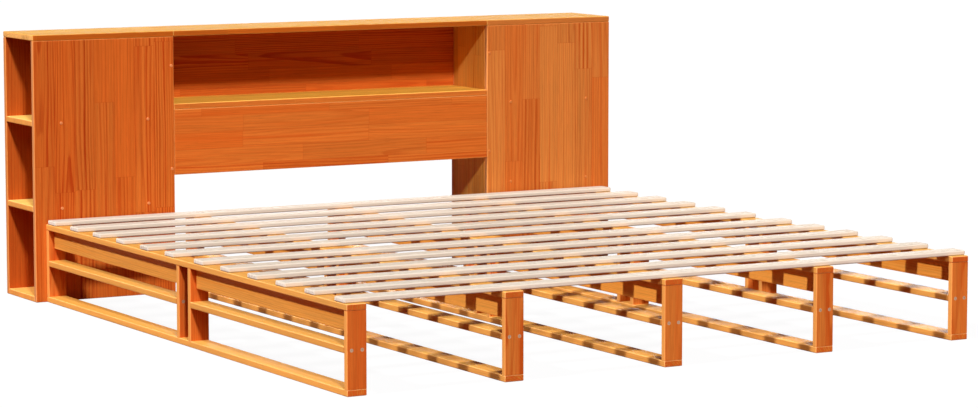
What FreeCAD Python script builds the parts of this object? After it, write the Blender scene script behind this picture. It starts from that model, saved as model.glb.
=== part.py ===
"""Bed with a bookcase headboard: five ladder frames, twelve slats and a panelled bookcase.

X runs across the bed, +Y points from the foot to the headboard, Z is up.  The origin is on the
floor, in the middle of the whole piece of furniture.  All sizes are in millimetres.
"""
import FreeCAD, Part
import math
import os

from FreeCAD import Vector

# ---------------------------------------------------------------- boards
BOARD = 18.0                    # thickness of every stained board
EDGE_RADIUS = 3.0               # rounding of the boards' edges

# ---------------------------------------------------------------- bed base
BED_WIDTH = 2000.0              # over the outer sides of the outer frames
BED_LENGTH = 2015.0             # frames, foot to head
FRAME_HEIGHT = 242.0            # floor to the underside of the slats
PLANK_WIDTH = 58.0              # width of every board in the frames
INNER_SPACING = 501.0           # centre frame to the frame beside it, centre to centre
MID_GAP = 58.0                  # between the two posts near the middle of a frame

# ---------------------------------------------------------------- slats
SLATS_PER_HALF = 6
SLAT_WIDTH = 57.0
SLAT_THICKNESS = 14.0
SLAT_RADIUS = 4.0
SLAT_END_INSET = 15.0           # foot or head end of the frames to the nearest slat
SLAT_MID_INSET = 41.5           # last slat of a half to the middle gap

# ---------------------------------------------------------------- headboard
HEADBOARD_OVERHANG = 35.0       # past the bed's side
HEADBOARD_HEIGHT = 825.0
HEADBOARD_DEPTH = 243.0
BOX_WIDTH = 471.0               # each side box of the bookcase
LOWER_BAY = 261.0               # clear height of the lowest side bay
CUBBY_HEIGHT = 211.0            # clear height of the middle cubby
APRON_HEIGHT = 206.0            # panel below the middle shelf

# ---------------------------------------------------------------- dowels
DOWEL_RADIUS = 4.0
DOWEL_IN_END = 20.0             # depth in the end or edge of a board
DOWEL_WALL = 6.0                # wood left behind a dowel set in the face of a board
DOWEL_CLEARANCE = 0.1           # around a dowel
DOWEL_RELIEF = 1.0              # empty depth past each end of a dowel

# ---------------------------------------------------------------- screws
SCREW_CLEARANCE = 0.1
RAIL_SCREW_HEAD = 5.0           # radii of the frame screws, and their depth in the rail
RAIL_SCREW_SHANK = 3.0
RAIL_SCREW_GRIP = 32.0
RAIL_SCREW_OFFSET = 15.5        # from the middle of the board
SLAT_SCREW_HEAD = 4.0
SLAT_SCREW_SHANK = 2.0
SLAT_SCREW_GRIP = 9.0
PANEL_SCREW_HEAD = 4.0
PANEL_SCREW_SHANK = 2.0
PANEL_SCREW_GRIP = 32.0
HEAD_HEIGHT = 3.0
SOCKET_DEPTH = 1.6
PANEL_SCREW_INSET = 90.0        # from a front panel's upright edges
SIDE_SCREW_TOP = 91.0           # top of an inner side to its first screw
SIDE_SCREW_OVER_APRON = 20.0    # lower edge of the apron to the middle screw
SIDE_SCREW_BOTTOM = 68.0        # floor to the last screw
COVER_RADIUS = 4.8              # button covers over the screws of the front panels
COVER_RISE = 1.8
COVER_ROUNDING = 1.2

# ---------------------------------------------------------------- bolts between bed and headboard
LINK_BOLT_HEAD = 7.0
LINK_BOLT_SHANK = 3.0
LINK_BOLT_HEAD_HEIGHT = 3.0
LINK_BOLT_GRIP = 12.0
LINK_BOLT_HEIGHTS = (70.0, 165.0)

# ---------------------------------------------------------------- worked out from the sizes above
OVERALL_LENGTH = BED_LENGTH + HEADBOARD_DEPTH
FOOT_Y = -OVERALL_LENGTH / 2
HEAD_Y = FOOT_Y + BED_LENGTH
BACK_Y = OVERALL_LENGTH / 2
HALF_LENGTH = (BED_LENGTH - MID_GAP) / 2
POST_TOP = FRAME_HEIGHT - BOARD
RAIL_Z = (FRAME_HEIGHT - BOARD) / 2
STIFFENER_Z = POST_TOP - PLANK_WIDTH
OUTER_FRAME_X = (BED_WIDTH - PLANK_WIDTH) / 2
SLAT_PITCH = (HALF_LENGTH - SLAT_END_INSET - SLAT_MID_INSET - SLAT_WIDTH) / (SLATS_PER_HALF - 1)

HEADBOARD_X = BED_WIDTH / 2 + HEADBOARD_OVERHANG
OPENING_X = HEADBOARD_X - BOX_WIDTH
TOP_Z = HEADBOARD_HEIGHT - BOARD
FRONT_BACK_Y = HEAD_Y + BOARD
BACK_FRONT_Y = BACK_Y - BOARD
LOWER_SHELF_Z = BOARD + LOWER_BAY
UPPER_SHELF_Z = (LOWER_SHELF_Z + TOP_Z) / 2
CUBBY_SHELF_Z = TOP_Z - CUBBY_HEIGHT - BOARD
APRON_Z = CUBBY_SHELF_Z - APRON_HEIGHT
DOWEL_IN_FACE = BOARD - DOWEL_WALL
SIDE_SCREW_HEIGHTS = (SIDE_SCREW_BOTTOM, APRON_Z + SIDE_SCREW_OVER_APRON, TOP_Z - SIDE_SCREW_TOP)

FRAMES = {
    "left_outer": -OUTER_FRAME_X,
    "left_inner": -INNER_SPACING,
    "centre": 0.0,
    "right_inner": INNER_SPACING,
    "right_outer": OUTER_FRAME_X,
}
SIDES = {"left": -1, "right": 1}
AXES = {"x": Vector(1, 0, 0), "y": Vector(0, 1, 0), "z": Vector(0, 0, 1)}

pieces = {}                     # node name -> its solids
bores = {}                      # node name -> the holes to cut in it


# ---------------------------------------------------------------- making boards
def runs_along(edge, axis):
    """True when a straight edge is parallel to the named axis."""
    span = edge.Vertexes[-1].Point - edge.Vertexes[0].Point
    return abs(span.dot(AXES[axis])) > 0.999 * span.Length


def board(x_range, y_range, z_range, long_axis=None, radius=EDGE_RADIUS):
    """A board with all its edges rounded, or only those along long_axis, its ends cut square."""
    lows = Vector(min(x_range), min(y_range), min(z_range))
    highs = Vector(max(x_range), max(y_range), max(z_range))
    size = highs - lows
    box = Part.makeBox(size.x, size.y, size.z, lows)
    edges = [edge for edge in box.Edges if long_axis is None or runs_along(edge, long_axis)]
    return box.makeFillet(radius, edges)


def add(name, *solids):
    pieces.setdefault(name, []).extend(solids)


def bore(name, shape):
    bores.setdefault(name, []).append(shape)


# ---------------------------------------------------------------- dowels, screws and bolts
def dowel(point, direction, first, second, first_depth, second_depth):
    """A dowel across the joint at point: first_depth back into one board, second_depth into the other."""
    start = point - direction * first_depth
    length = first_depth + second_depth
    add("dowels", Part.makeCylinder(DOWEL_RADIUS, length, start, direction))
    hole_start = start - direction * DOWEL_RELIEF
    hole_length = length + 2 * DOWEL_RELIEF
    hole = Part.makeCylinder(DOWEL_RADIUS + DOWEL_CLEARANCE, hole_length, hole_start, direction)
    bore(first, hole)
    bore(second, hole)


def socket(point, direction, radius):
    """The hexagonal recess in a screw head."""
    across = direction.cross(AXES["z"])
    if across.Length < 0.5:
        across = AXES["x"]
    other = direction.cross(across)
    corners = []
    for step in range(7):
        turn = math.radians(60 * step)
        corners.append(point + (across * math.cos(turn) + other * math.sin(turn)) * radius)
    return Part.Face(Part.makePolygon(corners)).extrude(direction * SOCKET_DEPTH)


def screw_body(point, direction, head, shank, length, tip):
    """A countersunk head flush with the face at point, a plain shank and a pointed tip."""
    cone = Part.makeCone(head, shank, HEAD_HEIGHT, point, direction)
    rod = Part.makeCylinder(shank, length - tip, point, direction)
    end = Part.makeCone(shank, shank / 4, tip, point + direction * (length - tip), direction)
    return cone.fuse([rod, end]).removeSplitter()


def screw(group, point, direction, through, into, head, shank, grip):
    """A countersunk screw through one board into the next, and the holes that it sits in."""
    length = BOARD + grip
    body = screw_body(point, direction, head, shank, length, 2 * shank)
    add(group, body.cut(socket(point, direction, head * 0.45)))
    seat = Part.makeCone(head + SCREW_CLEARANCE, shank + SCREW_CLEARANCE, HEAD_HEIGHT, point, direction)
    hole = Part.makeCylinder(shank + SCREW_CLEARANCE, length + SCREW_CLEARANCE, point, direction)
    bore(through, seat)
    bore(through, hole)
    bore(into, hole)


def rail_screw(point, direction, post, rail):
    screw("rail_screws", point, direction, post, rail, RAIL_SCREW_HEAD, RAIL_SCREW_SHANK, RAIL_SCREW_GRIP)


def panel_screw(point, direction, panel, inner):
    screw("panel_screws", point, direction, panel, inner, PANEL_SCREW_HEAD, PANEL_SCREW_SHANK,
          PANEL_SCREW_GRIP)


def screw_cover(point, direction):
    """A round button over a screw head, standing on the face at point."""
    button = Part.makeCylinder(COVER_RADIUS, COVER_RISE, point, direction * -1)
    top = point - direction * COVER_RISE
    rim = [edge for edge in button.Edges if edge.CenterOfMass.distanceToPoint(top) < COVER_RISE / 2]
    add("screw_covers", button.makeFillet(COVER_ROUNDING, rim))


# ---------------------------------------------------------------- the five ladder frames
def ladder_frame(name, x):
    across = (x - PLANK_WIDTH / 2, x + PLANK_WIDTH / 2)
    whole = (FOOT_Y, HEAD_Y)
    add(name + "_bottom_plank", board(across, whole, (0, BOARD)))
    add(name + "_top_plank", board(across, whole, (POST_TOP, FRAME_HEIGHT)))
    halves = [(FOOT_Y, FOOT_Y + HALF_LENGTH), (HEAD_Y - HALF_LENGTH, HEAD_Y)]
    for start, end in halves:
        for outer_face, inward in ((start, 1), (end, -1)):
            frame_post(name, x, outer_face, inward)
        clear = (start + BOARD, end - BOARD)
        add(name + "_mid_rails", board(across, clear, (RAIL_Z, RAIL_Z + BOARD), "y"))
        stiff = (x - BOARD / 2, x + BOARD / 2)
        add(name + "_stiffeners", board(stiff, clear, (STIFFENER_Z, POST_TOP), "y"))


def frame_post(name, x, outer_face, inward):
    """One upright board, with its dowels and the two screws that hold the mid rail."""
    across = (x - PLANK_WIDTH / 2, x + PLANK_WIDTH / 2)
    middle_y = outer_face + inward * BOARD / 2
    add(name + "_posts", board(across, (outer_face, outer_face + inward * BOARD), (BOARD, POST_TOP), "z"))
    for side in (-1, 1):
        at_x = x + side * PLANK_WIDTH / 4
        dowel(Vector(at_x, middle_y, BOARD), AXES["z"], name + "_bottom_plank", name + "_posts",
              DOWEL_IN_FACE, DOWEL_IN_END)
        dowel(Vector(at_x, middle_y, POST_TOP), AXES["z"], name + "_posts", name + "_top_plank",
              DOWEL_IN_END, DOWEL_IN_FACE)
        head = Vector(x + side * RAIL_SCREW_OFFSET, outer_face, RAIL_Z + BOARD / 2)
        rail_screw(head, AXES["y"] * inward, name + "_posts", name + "_mid_rails")
    joint = Vector(x, outer_face + inward * BOARD, (STIFFENER_Z + POST_TOP) / 2)
    dowel(joint, AXES["y"] * inward, name + "_posts", name + "_stiffeners", DOWEL_IN_FACE, DOWEL_IN_END)


# ---------------------------------------------------------------- slats
def slat_starts():
    """The foot side of each slat, from the head of the bed to its foot."""
    starts = []
    for index in range(SLATS_PER_HALF):
        starts.append(HEAD_Y - SLAT_END_INSET - SLAT_WIDTH - index * SLAT_PITCH)
    for index in reversed(range(SLATS_PER_HALF)):
        starts.append(FOOT_Y + SLAT_END_INSET + index * SLAT_PITCH)
    return starts


def slat(number, start):
    name = "slat_{:02d}".format(number)
    height = (FRAME_HEIGHT, FRAME_HEIGHT + SLAT_THICKNESS)
    reach = (-BED_WIDTH / 2, BED_WIDTH / 2)
    add(name, board(reach, (start, start + SLAT_WIDTH), height, radius=SLAT_RADIUS))
    beside_stiffener = (PLANK_WIDTH + BOARD) / 4
    for step, (frame, x) in enumerate(FRAMES.items()):
        side = 1 if (number + step) % 2 else -1
        point = Vector(x + side * beside_stiffener, start + SLAT_WIDTH / 2, POST_TOP)
        screw("slat_screws", point, AXES["z"], frame + "_top_plank", name,
              SLAT_SCREW_HEAD, SLAT_SCREW_SHANK, SLAT_SCREW_GRIP)


# ---------------------------------------------------------------- side boxes of the bookcase
def side_box(name, side):
    outer = side * HEADBOARD_X
    inner = side * OPENING_X
    inner_side_face = side * (OPENING_X + BOARD)
    whole = (outer, inner)
    bay = (outer, inner_side_face)
    inside = (FRONT_BACK_Y, BACK_FRONT_Y)
    front = name + "_front_panel"
    back = name + "_back_panel"
    upright = name + "_inner_side"
    top = name + "_top_board"
    floor = name + "_bottom_board"
    add(front, board(whole, (HEAD_Y, FRONT_BACK_Y), (0, TOP_Z)))
    add(back, board(whole, (BACK_FRONT_Y, BACK_Y), (0, TOP_Z)))
    add(upright, board((inner_side_face, inner), inside, (0, TOP_Z)))
    add(top, board(whole, (HEAD_Y, BACK_Y), (TOP_Z, HEADBOARD_HEIGHT)))
    add(floor, board(bay, inside, (0, BOARD)))
    shelves = name + "_shelves"
    for height in (LOWER_SHELF_Z, UPPER_SHELF_Z):
        add(shelves, board(bay, inside, (height, height + BOARD)))
        for at_x in (outer - side * PANEL_SCREW_INSET, inner + side * PANEL_SCREW_INSET):
            panel_screws(at_x, height + BOARD / 2, front, back, shelves)
    middle_x = side * (OPENING_X + BOARD / 2)
    for height in SIDE_SCREW_HEIGHTS:
        panel_screws(middle_x, height, front, back, upright)
    box_dowels(side, front, back, upright, top, floor)


def panel_screws(x, z, front, back, inner):
    """A covered screw from the front and a bare one from the back."""
    front_point = Vector(x, HEAD_Y, z)
    panel_screw(front_point, AXES["y"], front, inner)
    screw_cover(front_point, AXES["y"])
    panel_screw(Vector(x, BACK_Y, z), AXES["y"] * -1, back, inner)


def box_dowels(side, front, back, upright, top, floor):
    outer_x = side * (HEADBOARD_X - PANEL_SCREW_INSET)
    inner_x = side * (OPENING_X + PANEL_SCREW_INSET)
    for at_x in (outer_x, (outer_x + inner_x) / 2, inner_x):
        for panel, at_y in ((front, HEAD_Y + BOARD / 2), (back, BACK_Y - BOARD / 2)):
            dowel(Vector(at_x, at_y, TOP_Z), AXES["z"], panel, top, DOWEL_IN_END, DOWEL_IN_FACE)
    for at_x in (outer_x, inner_x):
        dowel(Vector(at_x, FRONT_BACK_Y, BOARD / 2), AXES["y"], front, floor, DOWEL_IN_FACE, DOWEL_IN_END)
        dowel(Vector(at_x, BACK_FRONT_Y, BOARD / 2), AXES["y"], floor, back, DOWEL_IN_END, DOWEL_IN_FACE)
    outward = AXES["x"] * side
    for share in (3 / 8, 5 / 8):
        at_y = HEAD_Y + HEADBOARD_DEPTH * share
        dowel(Vector(side * (OPENING_X + BOARD / 2), at_y, TOP_Z), AXES["z"], upright, top,
              DOWEL_IN_END, DOWEL_IN_FACE)
        dowel(Vector(side * (OPENING_X + BOARD), at_y, BOARD / 2), outward, upright, floor,
              DOWEL_IN_FACE, DOWEL_IN_END)


# ---------------------------------------------------------------- middle of the bookcase
def middle_section():
    reach = (-OPENING_X, OPENING_X)
    depth = (HEAD_Y, BACK_Y)
    shelf_top = CUBBY_SHELF_Z + BOARD
    add("middle_top_board", board(reach, depth, (TOP_Z, HEADBOARD_HEIGHT)))
    add("cubby_shelf", board(reach, depth, (CUBBY_SHELF_Z, shelf_top)))
    add("cubby_back", board(reach, (BACK_FRONT_Y, BACK_Y), (shelf_top, TOP_Z)))
    add("apron", board(reach, (HEAD_Y, FRONT_BACK_Y), (APRON_Z, CUBBY_SHELF_Z)))
    front_y = HEAD_Y + BOARD / 2
    back_y = BACK_Y - BOARD / 2
    for share in (-2 / 3, 0, 2 / 3):
        at_x = OPENING_X * share
        dowel(Vector(at_x, back_y, TOP_Z), AXES["z"], "cubby_back", "middle_top_board",
              DOWEL_IN_END, DOWEL_IN_FACE)
        dowel(Vector(at_x, back_y, shelf_top), AXES["z"], "cubby_shelf", "cubby_back",
              DOWEL_IN_FACE, DOWEL_IN_END)
        dowel(Vector(at_x, front_y, CUBBY_SHELF_Z), AXES["z"], "apron", "cubby_shelf",
              DOWEL_IN_END, DOWEL_IN_FACE)
    for name, side in SIDES.items():
        end_dowels(name, side, front_y, back_y, shelf_top)


def end_dowels(name, side, front_y, back_y, shelf_top):
    """The dowels at one end of the four middle boards."""
    outward = AXES["x"] * side
    at_x = side * OPENING_X
    for share in (1 / 4, 1 / 2, 3 / 4):
        at_y = HEAD_Y + HEADBOARD_DEPTH * share
        dowel(Vector(at_x, at_y, TOP_Z + BOARD / 2), outward, "middle_top_board", name + "_top_board",
              DOWEL_IN_END, DOWEL_IN_END)
        dowel(Vector(at_x, at_y, CUBBY_SHELF_Z + BOARD / 2), outward, "cubby_shelf", name + "_inner_side",
              DOWEL_IN_END, DOWEL_IN_FACE)
    for share in (1 / 4, 3 / 4):
        apron_z = APRON_Z + APRON_HEIGHT * share
        back_z = shelf_top + CUBBY_HEIGHT * share
        dowel(Vector(at_x, front_y, apron_z), outward, "apron", name + "_front_panel",
              DOWEL_IN_END, DOWEL_IN_END)
        dowel(Vector(at_x, back_y, back_z), outward, "cubby_back", name + "_back_panel",
              DOWEL_IN_END, DOWEL_IN_END)


# ---------------------------------------------------------------- bolts from the headboard to the bed
def link_bolts(name, side):
    """Bolts from inside the lowest bay, through the front panel, into the outer frame's head post."""
    post = name + "_outer_posts"
    panel = name + "_front_panel"
    toward_foot = AXES["y"] * -1
    for height in LINK_BOLT_HEIGHTS:
        seat = Vector(side * OUTER_FRAME_X, FRONT_BACK_Y, height)
        head = Part.makeCylinder(LINK_BOLT_HEAD, LINK_BOLT_HEAD_HEIGHT, seat, AXES["y"])
        shank = Part.makeCylinder(LINK_BOLT_SHANK, BOARD + LINK_BOLT_GRIP, seat, toward_foot)
        top = seat + AXES["y"] * LINK_BOLT_HEAD_HEIGHT
        bolt = head.fuse(shank).cut(socket(top, toward_foot, LINK_BOLT_SHANK))
        add("link_bolts", bolt)
        hole = Part.makeCylinder(LINK_BOLT_SHANK + SCREW_CLEARANCE,
                                 BOARD + LINK_BOLT_GRIP + DOWEL_RELIEF, seat, toward_foot)
        bore(panel, hole)
        bore(post, hole)


# ---------------------------------------------------------------- writing the nodes
def touching(solid, holes):
    """The holes whose box meets the solid's box."""
    return [hole for hole in holes if solid.BoundBox.intersect(hole.BoundBox)]


def write_all():
    os.makedirs("parts", exist_ok=True)
    for name, solids in pieces.items():
        finished = []
        for solid in solids:
            holes = touching(solid, bores.get(name, []))
            finished.append(solid.cut(holes) if holes else solid)
        shape = finished[0] if len(finished) == 1 else Part.makeCompound(finished)
        shape.exportStep("parts/" + name + ".step")
        print(name, len(shape.Solids), round(shape.Volume / 1000), "cm3")


for frame_name, frame_x in FRAMES.items():
    ladder_frame(frame_name, frame_x)
for slat_number, slat_start in enumerate(slat_starts(), start=1):
    slat(slat_number, slat_start)
for side_name, side_sign in SIDES.items():
    side_box(side_name, side_sign)
    link_bolts(side_name, side_sign)
middle_section()
write_all()
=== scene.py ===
import math

import bmesh
import bpy
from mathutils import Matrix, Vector


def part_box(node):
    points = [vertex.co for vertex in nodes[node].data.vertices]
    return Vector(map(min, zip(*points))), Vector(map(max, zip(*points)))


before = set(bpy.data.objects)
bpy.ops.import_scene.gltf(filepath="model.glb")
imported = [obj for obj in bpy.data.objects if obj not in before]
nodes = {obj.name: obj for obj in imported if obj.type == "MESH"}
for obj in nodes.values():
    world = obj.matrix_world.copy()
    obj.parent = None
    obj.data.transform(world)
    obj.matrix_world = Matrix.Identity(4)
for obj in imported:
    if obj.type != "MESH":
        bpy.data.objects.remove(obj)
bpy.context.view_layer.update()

scene = bpy.context.scene
FLOAT, VECTOR, COLOUR = "NodeSocketFloat", "NodeSocketVector", "NodeSocketColor"
MIX_FIRST, MIX_SECOND, MIX_RESULT = 6, 7, 2     # a Mix node's colour sockets


# ---------------------------------------------------------------- wiring nodes
class Wires:
    """Puts nodes into one tree and wires them. A value is a number, a colour or another node's socket."""

    def __init__(self, tree):
        self.tree = tree

    def feed(self, socket, value):
        if isinstance(value, bpy.types.NodeSocket):
            self.tree.links.new(value, socket)
        else:
            socket.default_value = value

    def put(self, kind, inputs=None, **settings):
        node = self.tree.nodes.new(kind)
        for key, value in settings.items():
            setattr(node, key, value)
        for socket, value in (inputs or {}).items():
            self.feed(node.inputs[socket], value)
        return node

    def math(self, operation, *values, clamp=False):
        node = self.put("ShaderNodeMath", operation=operation, use_clamp=clamp)
        for socket, value in zip(node.inputs, values):
            self.feed(socket, value)
        return node.outputs[0]

    def add(self, first, second):
        return self.math("ADD", first, second)

    def less(self, first, second):
        return self.math("SUBTRACT", first, second)

    def times(self, first, second, clamp=False):
        return self.math("MULTIPLY", first, second, clamp=clamp)

    def over(self, first, second):
        return self.math("DIVIDE", first, second)

    def size(self, value):
        return self.math("ABSOLUTE", value)

    def scaled(self, value, factor, start):
        """A value times a factor, counted from start."""
        return self.math("MULTIPLY_ADD", value, factor, start)

    def around(self, value, swing, middle=0.0):
        """A 0 to 1 value turned into one that swings about middle."""
        return self.scaled(value, 2 * swing, middle - swing)

    def smooth(self, value, low, high, start=0.0, end=1.0):
        """start below low, end above high, and a soft step between them."""
        node = self.put("ShaderNodeMapRange", interpolation_type="SMOOTHSTEP")
        for socket, number in zip(node.inputs, (value, low, high, start, end)):
            self.feed(socket, number)
        return node.outputs[0]

    def join(self, x, y, z=0.0):
        return self.put("ShaderNodeCombineXYZ", {0: x, 1: y, 2: z}).outputs[0]

    def split(self, vector):
        return self.put("ShaderNodeSeparateXYZ", {0: vector}).outputs

    def stretch(self, vector, factors):
        node = self.put("ShaderNodeVectorMath", {0: vector, 1: factors}, operation="MULTIPLY")
        return node.outputs["Vector"]

    def length(self, x, y):
        node = self.put("ShaderNodeVectorMath", {0: self.join(x, y)}, operation="LENGTH")
        return node.outputs["Value"]

    def noise(self, vector, scale=1.0, detail=2.0, roughness=0.5):
        node = self.put("ShaderNodeTexNoise", {"Vector": vector, "Scale": scale, "Detail": detail,
                                               "Roughness": roughness})
        return node.outputs["Fac"]

    def grained(self, place, rates, detail, roughness=0.5):
        """Noise drawn out along the grain."""
        return self.noise(self.stretch(place, rates), 1.0, detail, roughness)

    def chance(self, vector, which):
        """Three random values from 0 to 1 that belong to one cell."""
        node = self.put("ShaderNodeTexWhiteNoise", {"Vector": vector, "W": float(which)},
                        noise_dimensions="4D")
        return self.put("ShaderNodeSeparateColor", {0: node.outputs["Color"]}).outputs

    def blend(self, share, first, second):
        """The first colour, with a share of the second in it."""
        node = self.put("ShaderNodeMix", data_type="RGBA", blend_type="MIX")
        self.feed(node.inputs["Factor"], share)
        self.feed(node.inputs[MIX_FIRST], first)
        self.feed(node.inputs[MIX_SECOND], second)
        return node.outputs[MIX_RESULT]

    def shade(self, colour, factor):
        """A colour made lighter or darker by a factor."""
        node = self.put("ShaderNodeVectorMath", {0: colour}, operation="SCALE")
        self.feed(node.inputs["Scale"], factor)
        return node.outputs["Vector"]


def new_group(name, inputs, outputs):
    """A shader node group: its wires, its input sockets by name, and its output node's sockets."""
    tree = bpy.data.node_groups.new(name, "ShaderNodeTree")
    for label, kind in inputs:
        tree.interface.new_socket(label, in_out="INPUT", socket_type=kind)
    for label, kind in outputs:
        tree.interface.new_socket(label, in_out="OUTPUT", socket_type=kind)
    wires = Wires(tree)
    return wires, wires.put("NodeGroupInput").outputs, wires.put("NodeGroupOutput").inputs


# ---------------------------------------------------------------- the make of the wood
# How often each effect changes in a metre: along, across and through the grain.
DRIFT_RATES = (1.7, 7.0, 7.0)
RIPPLE_RATES = (9.0, 60.0, 60.0)
UNEVEN_RATES = (1.3, 24.0, 24.0)
FIBRE_RATES = (9.0, 620.0, 620.0)
STREAK_RATES = (1.6, 46.0, 46.0)
LINE_RATES = (2.4, 150.0, 150.0)
RESIN_RATES = (22.0, 950.0, 950.0)
PATCH_RATES = (28.0, 60.0, 60.0)
SCUFF_RATES = (6.0, 14.0, 14.0)

# Strips and blocks. Lengths here and below are in metres.
LAYER_DEPTH = 0.48                          # a node's boards have other blocks in each layer of this depth
LAYER_STEP = 37.0                           # keeps the cells of two layers apart
MOST_SHIFT = 9.0                            # how far a strip's blocks may be shifted, in blocks
GLUE_LINE = (0.0009, 0.0002)                # how far from the joint it starts, and is darkest
STRIP_TINT, BLOCK_TINT = 0.4, 0.6           # how much of a block's tint comes from its strip

# Knots, and the grain that runs round them.
KNOT_ALONG, KNOT_ACROSS = 0.3, 0.28         # how far off the middle a knot may be, in blocks and strips
KNOT_OVAL, KNOT_LEAST, KNOT_SPREAD = 0.65, 0.0035, 0.005
KNOT_RIM = (1.15, 0.6)                      # in radii
SWIRL_OVAL, SWIRL_REACH, SWIRL_PUSH = 0.33, 0.016, 0.013

# Growth rings about a pith.
PITH_BESIDE, PITH_BELOW, PITH_SPREAD, PITH_TILT = 0.085, 0.014, 0.05, 0.026
DRIFT_SIZE, RIPPLE_SIZE, UNEVEN_RINGS = 0.012, 0.0014, 1.5
RING_LEAST, RING_SPREAD = 0.65, 0.75        # in ring widths
FAINTEST_RING, RING_STRENGTHS = 0.35, 0.65
LATE_RISE, LATE_FALL = (0.3, 0.84), (1.0, 0.9)      # in parts of a ring
STRIP_FIGURE, BLOCK_FIGURE = 0.7, 0.3
FIGURE_STEP = (0.1, 0.9, 0.28, 1.1)         # from a calm block to a lively one
LINE_STEP, RESIN_STEP = (0.5, 0.72), (0.66, 0.76)

# Relief, as parts of the whole depth.
LATE_HEIGHT, FIBRE_HEIGHT, JOINT_DEPTH, RESIN_DEPTH, RESIN_DARK = 0.5, 0.5, 0.9, 0.5, 0.35


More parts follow.
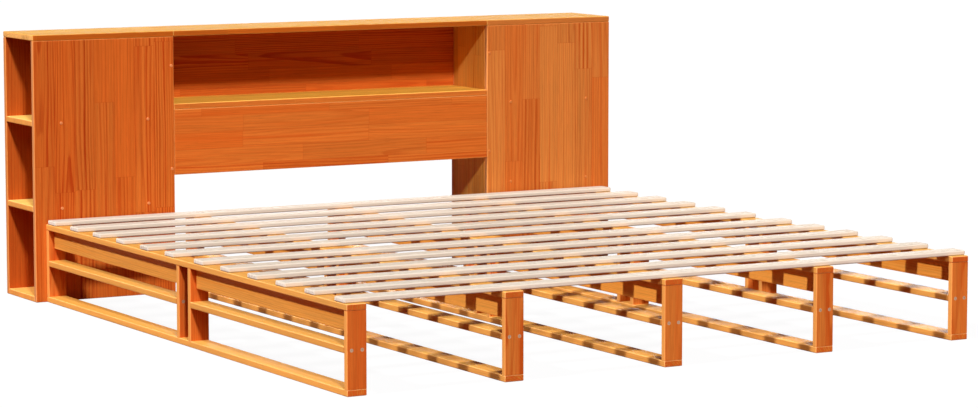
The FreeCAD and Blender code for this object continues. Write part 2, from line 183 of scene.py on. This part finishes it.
def make_pine_grain():
    """Solid pine glued up from strips and blocks. Place is along, across and through the board."""
    w, given, out = new_group(
        "pine_grain",
        [("Place", VECTOR), ("Strip Width", FLOAT), ("Block Length", FLOAT), ("Stagger", FLOAT),
         ("Ring Width", FLOAT), ("Knots", FLOAT), ("Seed", FLOAT)],
        [("Late Wood", FLOAT), ("Streak", FLOAT), ("Line", FLOAT), ("Fibre", FLOAT), ("Tint", FLOAT),
         ("Red", FLOAT), ("Knot", FLOAT), ("Joint", FLOAT), ("Height", FLOAT)])
    place, width, block_length = given["Place"], given["Strip Width"], given["Block Length"]
    along, across, through = w.split(place)

    # which strip and which block of it
    strip = w.math("FLOOR", w.add(w.over(across, width), 0.5))
    strip_across = w.less(across, w.times(strip, width))
    layer = w.math("FLOOR", w.scaled(through, 1 / LAYER_DEPTH, 0.5))
    strip_cell = w.join(strip, layer, given["Seed"])
    shift_luck, strip_tint, figure_luck = w.chance(strip_cell, 1)
    shift = w.times(shift_luck, w.times(given["Stagger"], MOST_SHIFT))
    run = w.add(w.over(along, block_length), w.add(shift, 0.5))
    block = w.math("FLOOR", run)
    block_along = w.times(w.less(w.math("FRACT", run), 0.5), block_length)
    block_cell = w.join(w.scaled(layer, LAYER_STEP, strip), block, given["Seed"])
    side_luck, depth_luck, tilt_luck = w.chance(block_cell, 2)
    ring_luck, knot_luck, knot_place = w.chance(block_cell, 3)
    tint, red, height_luck = w.chance(block_cell, 4)

    # a knot in some blocks
    has_knot = w.math("LESS_THAN", knot_luck, given["Knots"])
    knot_along = w.less(block_along, w.times(w.around(knot_place, KNOT_ALONG), block_length))
    knot_across = w.less(strip_across, w.times(w.around(height_luck, KNOT_ACROSS), width))
    knot_far = w.length(w.times(knot_along, KNOT_OVAL), knot_across)
    knot_radius = w.scaled(depth_luck, KNOT_SPREAD, KNOT_LEAST)
    knot = w.times(has_knot, w.smooth(w.over(knot_far, knot_radius), *KNOT_RIM))
    swirl_far = w.length(w.times(knot_along, SWIRL_OVAL), knot_across)
    swirl = w.math("POWER", w.over(swirl_far, SWIRL_REACH), 2.0)
    swirl = w.math("EXPONENT", w.times(swirl, -1.0))
    swirl = w.times(has_knot, w.times(swirl, SWIRL_PUSH))

    # growth rings about a pith that lies beside and below the block
    drift = w.around(w.grained(place, DRIFT_RATES, 1.0), DRIFT_SIZE)
    ripple = w.around(w.grained(place, RIPPLE_RATES, 2.0), RIPPLE_SIZE)
    beside = w.less(strip_across, w.around(side_luck, PITH_BESIDE))
    below = w.add(through, w.scaled(depth_luck, PITH_SPREAD, PITH_BELOW))
    below = w.add(below, w.add(drift, w.times(block_along, w.around(tilt_luck, PITH_TILT))))
    radius = w.add(w.length(beside, below), w.add(ripple, swirl))
    spacing = w.times(given["Ring Width"], w.scaled(ring_luck, RING_SPREAD, RING_LEAST))
    uneven = w.around(w.grained(place, UNEVEN_RATES, 1.0), UNEVEN_RINGS)
    rings = w.add(w.over(radius, spacing), uneven)
    ring_part = w.math("FRACT", rings)
    ring_cell = w.join(w.math("FLOOR", rings), block, strip)
    ring_strength = w.scaled(w.chance(ring_cell, 5)[0], RING_STRENGTHS, FAINTEST_RING)
    late = w.times(w.smooth(ring_part, *LATE_RISE), w.smooth(ring_part, *LATE_FALL))
    figure = w.add(w.times(figure_luck, STRIP_FIGURE), w.times(ring_luck, BLOCK_FIGURE))
    figure = w.smooth(figure, *FIGURE_STEP)
    late = w.times(late, w.times(ring_strength, figure))

    # fibres, broad streaks and resin lines along the grain
    fibre = w.grained(place, FIBRE_RATES, 3.0, 0.6)
    streak = w.grained(place, STREAK_RATES, 3.0, 0.55)
    line = w.grained(place, LINE_RATES, 2.0, 0.6)
    resin = w.smooth(w.grained(place, RESIN_RATES, 1.0), *RESIN_STEP)

    # glue lines between strips and across block ends
    strip_gap = w.less(w.times(width, 0.5), w.size(strip_across))
    block_gap = w.less(w.times(block_length, 0.5), w.size(block_along))
    joint = w.smooth(w.math("MINIMUM", strip_gap, block_gap), *GLUE_LINE)

    height = w.add(w.times(late, LATE_HEIGHT), w.times(fibre, FIBRE_HEIGHT))
    height = w.less(height, w.add(w.times(joint, JOINT_DEPTH), w.times(resin, RESIN_DEPTH)))
    w.feed(out["Late Wood"], late)
    w.feed(out["Streak"], streak)
    w.feed(out["Line"], w.times(w.smooth(line, *LINE_STEP), figure))
    w.feed(out["Fibre"], w.less(fibre, w.times(resin, RESIN_DARK)))
    w.feed(out["Tint"], w.add(w.times(tint, BLOCK_TINT), w.times(strip_tint, STRIP_TINT)))
    w.feed(out["Red"], red)
    w.feed(out["Knot"], knot)
    w.feed(out["Joint"], joint)
    w.feed(out["Height"], height)
    return w.tree


# ---------------------------------------------------------------- a board's faces
ROUNDED = (0.01, 0.16)                      # how far off square a rounded edge's surface is turned
WORN_HIGHLIGHT_STEP = (0.25, 0.62, 0.35, 1.0)         # a rounded edge's painted highlight, and its wear, come in patches, nowhere less than 0.35
FACED = (0.55, 0.95)                        # how squarely a surface faces along or across the board
SCUFF_STEP = (0.52, 0.78)


def make_board_faces():
    """Tells a board's rounded edges, narrow cut faces and end grain from its wide faces."""
    w, given, out = new_group("board_faces", [("Facing", VECTOR), ("Place", VECTOR)],
                              [("Edge", FLOAT), ("Cut Face", FLOAT), ("End Grain", FLOAT), ("Scuff", FLOAT)])
    along, across, through = (w.size(part) for part in w.split(given["Facing"]))
    square = w.math("MAXIMUM", w.math("MAXIMUM", along, across), through)
    patchy = w.grained(given["Place"], PATCH_RATES, 3.0, 0.6)
    edge = w.smooth(w.less(1.0, square), *ROUNDED)
    scuff = w.smooth(w.grained(given["Place"], SCUFF_RATES, 4.0, 0.65), *SCUFF_STEP)
    w.feed(out["Edge"], w.times(edge, w.smooth(patchy, *WORN_HIGHLIGHT_STEP)))
    w.feed(out["Cut Face"], w.smooth(across, *FACED))
    w.feed(out["End Grain"], w.smooth(along, *FACED))
    w.feed(out["Scuff"], scuff)
    return w.tree


# ---------------------------------------------------------------- stain and varnish, with painted light and shade
WARM_STEP, WARM_SHARE = (0.3, 1.0), 0.7     # some blocks are redder
LATE_SHARE, STREAK_SHARE, LINE_SHARE = 0.95, 0.4, 0.5
STREAK_STEP = (0.5, 0.74)
CUT_CALM, CUT_LATE = -0.55, 0.72            # a cut face shows less of the rings, and paler ones
FIBRE_SWING, TINT_SWING, STREAK_SWING = 0.3, 0.1, 0.18
# how much of the knot colour, the glue-line colour and the painted edge highlight shows
KNOT_SHARE, JOINT_SHARE, EDGE_HIGHLIGHT_SHARE = 0.85, 0.5, 0.7
ROUGH_FIBRE, ROUGH_LATE, ROUGH_SCUFF, ROUGH_END, ROUGHEST = 0.16, 0.08, 0.07, 0.14, 0.95


def make_stain_and_painted_light():
    """The colour and roughness that a finish gives to the grain, with painted light and shade on cut faces
    and end grain and a painted highlight on rounded edges.
    """
    w, given, out = new_group(
        "wood_stain_and_painted_light",
        [("Late Wood", FLOAT), ("Streak", FLOAT), ("Line", FLOAT), ("Fibre", FLOAT), ("Tint", FLOAT),
         ("Red", FLOAT), ("Knot", FLOAT), ("Joint", FLOAT), ("Edge", FLOAT), ("Cut Face", FLOAT),
         ("End Grain", FLOAT), ("Scuff", FLOAT), ("Early Colour", COLOUR), ("Late Colour", COLOUR),
         ("Warm Colour", COLOUR), ("Cut Face And Painted Light Colour", COLOUR), ("End Grain And Painted Light Colour", COLOUR), ("Edge Wear And Highlight Colour", COLOUR),
         ("Knot Colour", COLOUR), ("Variation", FLOAT), ("Base Roughness", FLOAT)],
        [("Colour", COLOUR), ("Roughness", FLOAT)])
    vary = given["Variation"]
    warm = w.times(w.smooth(given["Red"], *WARM_STEP), WARM_SHARE)
    wide = w.blend(warm, given["Early Colour"], given["Warm Colour"])
    # cut faces and end grain take colours of their own, partly their real tone and partly painted light and
    # shade
    cut = w.blend(given["Cut Face"], wide, given["Cut Face And Painted Light Colour"])
    wood = w.blend(given["End Grain"], cut, given["End Grain And Painted Light Colour"])
    dark = w.add(w.times(given["Late Wood"], LATE_SHARE),
                 w.times(w.smooth(given["Streak"], *STREAK_STEP), STREAK_SHARE))
    dark = w.add(dark, w.times(given["Line"], LINE_SHARE))
    dark = w.times(dark, w.scaled(given["Cut Face"], CUT_CALM, 1.0), clamp=True)
    late = w.blend(given["Cut Face"], given["Late Colour"], w.shade(given["Cut Face And Painted Light Colour"], CUT_LATE))
    wood = w.blend(dark, wood, late)
    factor = w.add(w.times(w.around(given["Fibre"], FIBRE_SWING), vary),
                   w.times(w.around(given["Tint"], TINT_SWING), vary))
    factor = w.add(factor, w.add(1.0, w.times(w.around(given["Streak"], STREAK_SWING), vary)))
    wood = w.shade(wood, factor)
    wood = w.blend(w.times(given["Knot"], KNOT_SHARE), wood, given["Knot Colour"])
    wood = w.blend(w.times(given["Joint"], JOINT_SHARE), wood, given["Late Colour"])
    # a painted highlight along the rounded edges, broken up in worn patches
    wood = w.blend(w.times(given["Edge"], EDGE_HIGHLIGHT_SHARE), wood, given["Edge Wear And Highlight Colour"])
    rough = w.add(given["Base Roughness"], w.around(given["Fibre"], ROUGH_FIBRE))
    rough = w.less(rough, w.times(given["Late Wood"], ROUGH_LATE))
    rough = w.add(rough, w.add(w.times(given["Scuff"], ROUGH_SCUFF), w.times(given["End Grain"], ROUGH_END)))
    w.feed(out["Colour"], wood)
    w.feed(out["Roughness"], w.math("MINIMUM", rough, ROUGHEST))
    return w.tree


GRAIN = make_pine_grain()
FACES = make_board_faces()
STAIN_AND_PAINTED_LIGHT = make_stain_and_painted_light()


# ---------------------------------------------------------------- tones of the stain, with lit and shaded copies of it
# The deep orange of upright boards, and what some of them change in it. Several of these are lit and shaded
# copies of one stain: painted light and shade.
DEEP = {
    "Early Colour": (0.66, 0.150, 0.020), "Late Colour": (0.46, 0.052, 0.0035),
    "Warm Colour": (0.62, 0.118, 0.012), "Cut Face And Painted Light Colour": (0.97, 0.54, 0.20),
    "End Grain And Painted Light Colour": (0.55, 0.10, 0.014), "Edge Wear And Highlight Colour": (0.88, 0.34, 0.09),
    "Knot Colour": (0.24, 0.022, 0.002),
}
APRON = dict(DEEP, **{"Early Colour": (0.69, 0.175, 0.024), "Late Colour": (0.49, 0.060, 0.004),
                      "Warm Colour": (0.64, 0.125, 0.013)})
# A darker copy for the back panels: painted shade in the bays.
SHADED_BACK = dict(DEEP, **{"Early Colour": (0.55, 0.112, 0.013), "Late Colour": (0.38, 0.040, 0.0025),
                     "Warm Colour": (0.52, 0.090, 0.009), "Cut Face And Painted Light Colour": (0.90, 0.43, 0.12)})
LEFT_FACE = dict(DEEP, **{"Early Colour": (0.685, 0.165, 0.022), "Warm Colour": (0.645, 0.130, 0.014)})
# A lighter, more golden copy for the right front panel: painted light.
LIT_RIGHT_FACE = dict(DEEP, **{"Early Colour": (0.70, 0.235, 0.046), "Late Colour": (0.51, 0.080, 0.008),
                           "Warm Colour": (0.67, 0.150, 0.020)})
# A much lighter, golden copy for the right inner side: painted light.
LIT_GOLDEN_SIDE = dict(DEEP, **{"Early Colour": (0.84, 0.40, 0.075), "Late Colour": (0.64, 0.16, 0.015),
                            "Warm Colour": (0.80, 0.33, 0.050)})
POST = dict(DEEP, **{"Early Colour": (0.69, 0.175, 0.028), "Late Colour": (0.50, 0.065, 0.005),
                     "Warm Colour": (0.65, 0.140, 0.018), "Cut Face And Painted Light Colour": (0.82, 0.36, 0.085)})
# A lighter copy for the posts of the other frames, while the left outer frame keeps the darker one: painted
# light and shade.
LIT_POST = dict(POST, **{"Early Colour": (0.71, 0.215, 0.035), "Late Colour": (0.54, 0.085, 0.008),
                           "Warm Colour": (0.67, 0.178, 0.025)})

# The golden orange of boards that lie flat, and of the stiffeners, partly their own tone and partly painted
# light from above and from the left; then lit and shaded copies of it.
HONEY = {
    "Early Colour": (0.71, 0.37, 0.078), "Late Colour": (0.62, 0.22, 0.03),
    "Warm Colour": (0.68, 0.32, 0.055), "Cut Face And Painted Light Colour": (0.82, 0.375, 0.080),
    "End Grain And Painted Light Colour": (0.65, 0.108, 0.013), "Edge Wear And Highlight Colour": (0.97, 0.54, 0.20),
    "Knot Colour": (0.36, 0.07, 0.01),
}
# A darker copy for the frames' top planks: painted shade.
SHADED_TOP_PLANK = dict(HONEY, **{"Early Colour": (0.63, 0.325, 0.066), "Late Colour": (0.55, 0.195, 0.026),
                           "Warm Colour": (0.60, 0.28, 0.048)})
# A lighter copy for the stiffeners: painted light.
LIT_STIFFENER = dict(HONEY, **{"Early Colour": (0.90, 0.40, 0.075), "Late Colour": (0.76, 0.25, 0.028),
                      "Warm Colour": (0.86, 0.34, 0.05)})
# A darker copy for the top boards, against the strong light from above, with darker front edges: painted
# shade.
SHADED_TOP = dict(HONEY, **{"Early Colour": (0.52, 0.275, 0.033), "Late Colour": (0.45, 0.175, 0.014),
                     "Warm Colour": (0.50, 0.24, 0.025), "Cut Face And Painted Light Colour": (0.53, 0.118, 0.009),
                     "End Grain And Painted Light Colour": (0.92, 0.50, 0.15), "Edge Wear And Highlight Colour": (0.82, 0.40, 0.09)})
# A lighter copy for the right top board: painted light.
LIT_RIGHT_TOP = dict(SHADED_TOP, **{"Early Colour": (0.54, 0.285, 0.048), "Cut Face And Painted Light Colour": (0.59, 0.185, 0.034)})
# A lighter copy for the cubby shelf: painted light.
LIT_CUBBY_SHELF = dict(HONEY, **{"Early Colour": (0.90, 0.50, 0.072), "Late Colour": (0.76, 0.30, 0.030),
                             "Warm Colour": (0.88, 0.44, 0.060), "Cut Face And Painted Light Colour": (0.68, 0.18, 0.026),
                             "Edge Wear And Highlight Colour": (0.92, 0.50, 0.13)})
# Lighter copies for the bays' floors and shelves: painted light.
LIT_BAY_FLOOR = dict(HONEY, **{"Early Colour": (0.92, 0.48, 0.12), "Late Colour": (0.80, 0.30, 0.05),
                           "Warm Colour": (0.86, 0.40, 0.09), "End Grain And Painted Light Colour": (0.80, 0.34, 0.08)})
LIT_SIDE_SHELF = dict(LIT_BAY_FLOOR, **{"Early Colour": (0.92, 0.60, 0.16), "Late Colour": (0.80, 0.38, 0.065),
                                "Warm Colour": (0.87, 0.51, 0.12)})

# The unstained slats. Their wide faces are kept darker, as painted shade against the light from above, and
# their cut faces and ends lighter, as painted light.
PALE = {
    "Early Colour": (0.548, 0.490, 0.408), "Late Colour": (0.505, 0.405, 0.305),
    "Warm Colour": (0.548, 0.470, 0.380), "Cut Face And Painted Light Colour": (0.80, 0.715, 0.59),
    "End Grain And Painted Light Colour": (0.86, 0.80, 0.69), "Edge Wear And Highlight Colour": (0.64, 0.57, 0.48),
    "Knot Colour": (0.38, 0.20, 0.10),
}


# ---------------------------------------------------------------- finishes
AXIS = {"x": 0, "y": 1, "z": 2}
WHOLE_STRIP, WHOLE_BLOCK = 0.3, 6.0         # wider and longer than any board that isn't glued up
PINE_GLARE, PINE_RELIEF = 0.09, 0.6
FINE_RATE, BROAD_RATE, MOTTLE_STEP = (400.0, 400.0, 400.0), 55.0, (0.3, 0.7)
FINE_ROUGH, BROAD_ROUGH, FINE_RELIEF, FINE_DEPTH = 0.1, 0.06, 0.4, 0.0001


def wear(node, material):
    for slot in nodes[node].material_slots:
        slot.material = material


def pine(node, directions, tones, strip=WHOLE_STRIP, block=WHOLE_BLOCK, stagger=0.0, ring=0.0052,
         knots=0.0, variation=1.0, roughness=0.62, seed=0.0, bump=0.00035):
    """Gives a node a pine of its own. directions names the axes along, across and through its boards."""
    material = bpy.data.materials.new("pine_" + node)
    material.use_nodes = True
    w = Wires(material.node_tree)
    shader = w.tree.nodes["Principled BSDF"]
    low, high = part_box(node)
    middle = [-(a + b) / 2 for a, b in zip(low, high)]
    coords = w.put("ShaderNodeTexCoord").outputs
    placed = w.put("ShaderNodeMapping", {"Vector": coords["Object"], "Location": middle}).outputs[0]
    order = [AXIS[name] for name in directions]
    parts = w.split(placed)
    place = w.join(*[parts[i] for i in order])
    parts = w.split(coords["Normal"])
    facing = w.join(*[parts[i] for i in order])

    grain = w.put("ShaderNodeGroup", node_tree=GRAIN)
    for label, value in {"Place": place, "Strip Width": strip, "Block Length": block, "Stagger": stagger,
                         "Ring Width": ring, "Knots": knots, "Seed": seed}.items():
        w.feed(grain.inputs[label], value)
    faces = w.put("ShaderNodeGroup", node_tree=FACES)
    w.feed(faces.inputs["Facing"], facing)
    w.feed(faces.inputs["Place"], place)
    finish = w.put("ShaderNodeGroup", node_tree=STAIN_AND_PAINTED_LIGHT)
    for source in (grain, faces):
        for socket in source.outputs:
            if socket.name in finish.inputs:
                w.feed(finish.inputs[socket.name], socket)
    for label, colour in tones.items():
        finish.inputs[label].default_value = (*colour, 1.0)
    finish.inputs["Variation"].default_value = variation
    finish.inputs["Base Roughness"].default_value = roughness
    relief = w.put("ShaderNodeBump", {"Height": grain.outputs["Height"], "Strength": PINE_RELIEF,
                                      "Distance": bump})
    w.feed(shader.inputs["Base Color"], finish.outputs["Colour"])
    w.feed(shader.inputs["Roughness"], finish.outputs["Roughness"])
    w.feed(shader.inputs["Normal"], relief.outputs[0])
    shader.inputs["Specular IOR Level"].default_value = PINE_GLARE
    wear(node, material)


def glued_pine(node, directions, tones, strip, block, **rest):
    """Pine glued up from strips of short blocks, whose ends are staggered."""
    pine(node, directions, tones, strip=strip, block=block, stagger=1.0, **rest)


def plain_finish(node, colour, other, roughness, metallic=0.0, right_shade_colour=None):
    """Steel, plastic or beech: two close colours, a little roughness change and a fine relief.
    right_shade_colour is a darker colour for the solids right of the bed's middle: painted shade."""
    material = bpy.data.materials.new("finish_" + node)
    material.use_nodes = True
    w = Wires(material.node_tree)
    shader = w.tree.nodes["Principled BSDF"]
    spot = w.put("ShaderNodeTexCoord").outputs["Object"]
    fine = w.grained(spot, FINE_RATE, 3.0, 0.6)
    broad = w.noise(spot, BROAD_RATE, 2.0)
    mottle = w.smooth(w.add(w.times(fine, 0.5), w.times(broad, 0.5)), *MOTTLE_STEP)
    tone = w.blend(mottle, (*colour, 1), (*other, 1))
    # solids right of the bed's middle take the darker colour: painted shade
    if right_shade_colour:
        tone = w.blend(w.math("GREATER_THAN", w.split(spot)[0], 0.0), tone, (*right_shade_colour, 1))
    w.feed(shader.inputs["Base Color"], tone)
    rough = w.add(w.around(fine, FINE_ROUGH, roughness), w.around(broad, BROAD_ROUGH))
    w.feed(shader.inputs["Roughness"], rough)
    relief = w.put("ShaderNodeBump", {"Height": fine, "Strength": FINE_RELIEF, "Distance": FINE_DEPTH})
    w.feed(shader.inputs["Normal"], relief.outputs[0])
    shader.inputs["Metallic"].default_value = metallic
    wear(node, material)


# ---------------------------------------------------------------- the headboard
PANEL_STRIP, BOX_STRIP, TOP_STRIP, APRON_STRIP, CUBBY_STRIP = 0.0673, 0.0518, 0.0608, 0.0515, 0.0528
DULL = 0.8                                  # the top boards are rougher than the rest

# The right side takes lighter copies of the stain for its front panel, inner side and top board: painted
# light.
for count, (side, face, inside, top, face_knots) in enumerate(
        (("left", LEFT_FACE, DEEP, SHADED_TOP, 0.05), ("right", LIT_RIGHT_FACE, LIT_GOLDEN_SIDE, LIT_RIGHT_TOP, 0.0)), start=1):
    seed = 3.0 * count
    glued_pine(side + "_front_panel", "zxy", face, PANEL_STRIP, block=0.52, ring=0.0095,
               knots=face_knots, seed=seed)
    glued_pine(side + "_back_panel", "zxy", SHADED_BACK, PANEL_STRIP, block=0.52, ring=0.0075, knots=0.12,
               seed=seed + 1)
    glued_pine(side + "_inner_side", "zyx", inside, BOX_STRIP, block=0.4, knots=0.1, seed=seed + 2)
    glued_pine(side + "_shelves", "xyz", LIT_SIDE_SHELF, BOX_STRIP, block=0.3, knots=0.05, seed=seed + 3)
    glued_pine(side + "_bottom_board", "xyz", LIT_BAY_FLOOR, BOX_STRIP, block=0.3, knots=0.05, seed=seed + 4)
    glued_pine(side + "_top_board", "xyz", top, TOP_STRIP, block=0.33, knots=0.06, roughness=DULL,
               seed=seed + 5)
glued_pine("apron", "xzy", APRON, APRON_STRIP, block=0.45, ring=0.0065, seed=21.0)
glued_pine("cubby_back", "xzy", DEEP, CUBBY_STRIP, block=0.45, ring=0.0065, knots=0.08, seed=22.0)
glued_pine("cubby_shelf", "xyz", LIT_CUBBY_SHELF, TOP_STRIP, block=0.37, knots=0.05, seed=23.0)
glued_pine("middle_top_board", "xyz", SHADED_TOP, TOP_STRIP, block=0.38, knots=0.05, roughness=DULL,
           seed=24.0)

# ---------------------------------------------------------------- the base and its slats
for count, name in enumerate(("left_outer", "left_inner", "centre", "right_inner", "right_outer"), start=1):
    seed = 6.0 + 2.0 * count
    pine(name + "_bottom_plank", "yxz", HONEY, seed=seed)
    pine(name + "_top_plank", "yxz", SHADED_TOP_PLANK, seed=seed + 0.3)
    pine(name + "_mid_rails", "yxz", HONEY, seed=seed + 0.6)
    pine(name + "_stiffeners", "yzx", LIT_STIFFENER, seed=seed + 0.9)
    # the left outer frame's posts are the darker, shaded copy and the rest the lighter one: painted light
    # and shade
    pine(name + "_posts", "zxy", POST if name == "left_outer" else LIT_POST, ring=0.006, seed=seed + 1.2)
for number in range(1, 13):
    pine("slat_%02d" % number, "xyz", PALE, ring=0.004, variation=0.5, roughness=0.7,
         seed=40.0 + number)

# ---------------------------------------------------------------- the fasteners
plain_finish("dowels", (0.62, 0.40, 0.22), (0.48, 0.28, 0.14), roughness=0.6)
plain_finish("rail_screws", (0.52, 0.33, 0.22), (0.43, 0.26, 0.17), roughness=0.5, metallic=1.0)
for name in ("panel_screws", "slat_screws", "link_bolts"):
    plain_finish(name, (0.36, 0.34, 0.33), (0.24, 0.23, 0.23), roughness=0.42, metallic=1.0)
# the covers right of the middle are a darker copy: painted shade
plain_finish("screw_covers", (0.75, 0.26, 0.075), (0.68, 0.21, 0.055), roughness=0.55,
             right_shade_colour=(0.60, 0.17, 0.024))

# ---------------------------------------------------------------- camera
FOCAL_PIXELS, PICTURE_WIDTH, SENSOR_WIDTH = 3428.5417, 978, 36.0
YAW, PITCH = math.radians(29.70479), math.radians(6.43926)      # to the right of the bed's length, and down
EYE_PLACE, FURTHEST_SEEN = (-5.01069, -8.89746, 1.48802), 100

lens = bpy.data.cameras.new("camera")
lens.sensor_width = SENSOR_WIDTH
lens.lens = SENSOR_WIDTH * FOCAL_PIXELS / PICTURE_WIDTH
lens.clip_end = FURTHEST_SEEN
eye = bpy.data.objects.new("camera", lens)
scene.collection.objects.link(eye)
look = Vector((math.sin(YAW) * math.cos(PITCH), math.cos(YAW) * math.cos(PITCH), -math.sin(PITCH)))
eye.location = EYE_PLACE
eye.rotation_euler = look.to_track_quat("-Z", "Y").to_euler()
scene.camera = eye


# ---------------------------------------------------------------- floor, world and lamps
FLOOR_HALF = 45.0
FLOOR_WHITE, FLOOR_SHADOWED = 0.95, (0.055, 0.055, 0.055, 1)    # together white in full light
FLOOR_BOUNCE = (0.18, 0.034, 0.012, 1)
ROOM_COLOUR, ROOM_LEVEL = (1.0, 0.30, 0.16, 1), 0.07


def seen_directly(w):
    """1 for the rays of the camera, of reflections and through glass, 0 for light that bounces about."""
    ray = w.put("ShaderNodeLightPath").outputs
    return w.math("MAXIMUM", ray["Is Camera Ray"],
                  w.math("MAXIMUM", ray["Is Glossy Ray"], ray["Is Transmission Ray"]))


def lay_floor():
    """A pale floor that shows the bed's faint shadow, and bounces a little warm light up into the bed."""
    shape = bmesh.new()
    bmesh.ops.create_grid(shape, x_segments=1, y_segments=1, size=FLOOR_HALF)
    mesh = bpy.data.meshes.new("floor")
    shape.to_mesh(mesh)
    shape.free()
    floor = bpy.data.objects.new("floor", mesh)
    scene.collection.objects.link(floor)
    material = bpy.data.materials.new("pale_floor")
    material.use_nodes = True
    w = Wires(material.node_tree)
    w.tree.nodes.remove(w.tree.nodes["Principled BSDF"])
    seen = seen_directly(w)
    white = w.put("ShaderNodeEmission", {"Color": (1, 1, 1, 1), "Strength": FLOOR_WHITE})
    shadowed = w.put("ShaderNodeBsdfDiffuse", {"Color": FLOOR_SHADOWED})
    shown = w.put("ShaderNodeAddShader", {0: white.outputs[0], 1: shadowed.outputs[0]})
    bouncing = w.put("ShaderNodeBsdfDiffuse", {"Color": FLOOR_BOUNCE})
    both = w.put("ShaderNodeMixShader", {0: seen, 1: bouncing.outputs[0], 2: shown.outputs[0]})
    w.feed(w.tree.nodes["Material Output"].inputs["Surface"], both.outputs[0])
    mesh.materials.append(material)


def light_world():
    """A dim room of a warm red, which is white where the camera or a reflection sees it."""
    world = bpy.data.worlds.new("studio")
    scene.world = world
    world.use_nodes = True
    w = Wires(world.node_tree)
    seen = seen_directly(w)
    room = w.tree.nodes["Background"]
    room.inputs["Color"].default_value = ROOM_COLOUR
    room.inputs["Strength"].default_value = ROOM_LEVEL
    white = w.put("ShaderNodeBackground", {"Color": (1, 1, 1, 1), "Strength": 1.0})
    both = w.put("ShaderNodeMixShader", {0: seen, 1: room.outputs[0], 2: white.outputs[0]})
    w.feed(w.tree.nodes["World Output"].inputs["Surface"], both.outputs[0])


def lamp(name, travel, level, softness):
    """A far white lamp. level is the brightness that it gives to a white face turned square to it, and
    softness is how wide it looks from the bed, in degrees."""
    light = bpy.data.lights.new(name, "SUN")
    light.energy = level * math.pi
    light.angle = math.radians(softness)
    holder = bpy.data.objects.new(name, light)
    holder.rotation_euler = Vector(travel).normalized().to_track_quat("-Z", "Y").to_euler()
    scene.collection.objects.link(holder)


lay_floor()
light_world()
lamp("left_lamp", travel=(0.86, 0.05, -1.0), level=1.02, softness=4)
lamp("front_lamp", travel=(0.35, 1.24, -1.0), level=0.91, softness=5)
lamp("back_lamp", travel=(-0.6, -1.0, -0.12), level=0.55, softness=25)

scene.view_settings.view_transform = "Standard"
